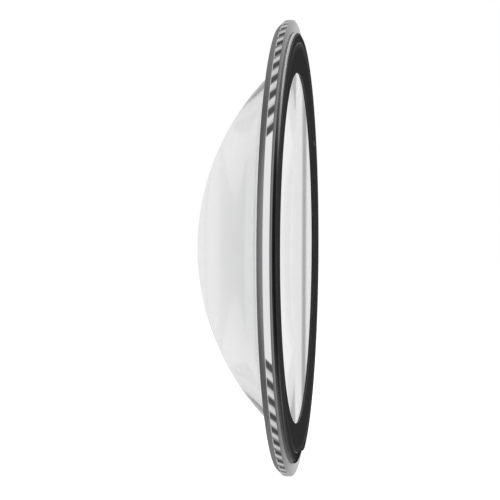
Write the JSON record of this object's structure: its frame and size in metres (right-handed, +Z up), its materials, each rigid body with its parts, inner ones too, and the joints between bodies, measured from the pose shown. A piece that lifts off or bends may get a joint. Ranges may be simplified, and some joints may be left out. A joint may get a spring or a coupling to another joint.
{
  "type": "domed screw-in lens",
  "caption": "Slim knurled metal ring holding a clear domed lens that bulges from one side, with a low black threaded collar around its flat window on the other side.",
  "frame": {"origin": "on the optical axis, halfway along it between the dome's apex and the thread end face; the grip ring's seat face is 5.12 mm further along +X", "axes": "+X along the optical axis, out of the threaded side; -X out of the dome; +Z up, away from the relief in the thread ring; the plain thumb pads face +Y and -Y"},
  "size_m": [0.0114, 0.0508, 0.0508],
  "materials": {
    "grip_metal": "satin silver-grey, brighter on the turned edges",
    "black_anodise": "satin black anodised aluminium",
    "seal_rubber": "matt black",
    "glass": "polished, clear",
    "foil": "bright foil",
    "ptfe": "matt black, carbon-filled"
  },
  "bodies": {
    "cell": {"thread_ring": "black_anodise", "centring_ring": "black_anodise"},
    "seal": {"lens_seal": "seal_rubber"},
    "grip": {"grip_ring": "grip_metal"},
    "doublet": {"front_element": "glass", "rear_element": "glass", "spacer_shim_1": "foil", "spacer_shim_2": "foil", "spacer_shim_3": "foil"},
    "washer": {"slip_washer": "ptfe"},
    "retainer": {"retaining_ring": "black_anodise"}
  },
  "joints": [
    {"name": "grip_ring_travel", "type": "slide", "parent": "cell", "child": "seal", "axis": [-1, 0, 0], "range_m": [0, 0.0017]},
    {"name": "grip_ring_turn", "type": "hinge", "parent": "seal", "child": "grip", "pos_m": [0, 0, 0], "axis": [-1, 0, 0], "range_deg": [0, 810]},
    {"name": "doublet_lift_out", "type": "slide", "parent": "cell", "child": "doublet", "axis": [1, 0, 0], "range_m": [0, 0.0125]},
    {"name": "retaining_ring_travel", "type": "slide", "parent": "doublet", "child": "washer", "axis": [1, 0, 0], "range_m": [0, 0.00165]},
    {"name": "retaining_ring_turn", "type": "hinge", "parent": "washer", "child": "retainer", "pos_m": [0, 0, 0], "axis": [1, 0, 0], "range_deg": [0, 1170]}
  ],
  "couplings": [
    {"joint": "grip_ring_travel", "follows": "grip_ring_turn", "m_per_rad": 0.00011937},
    {"joint": "retaining_ring_travel", "follows": "retaining_ring_turn", "m_per_rad": 0.000079577}
  ]
}
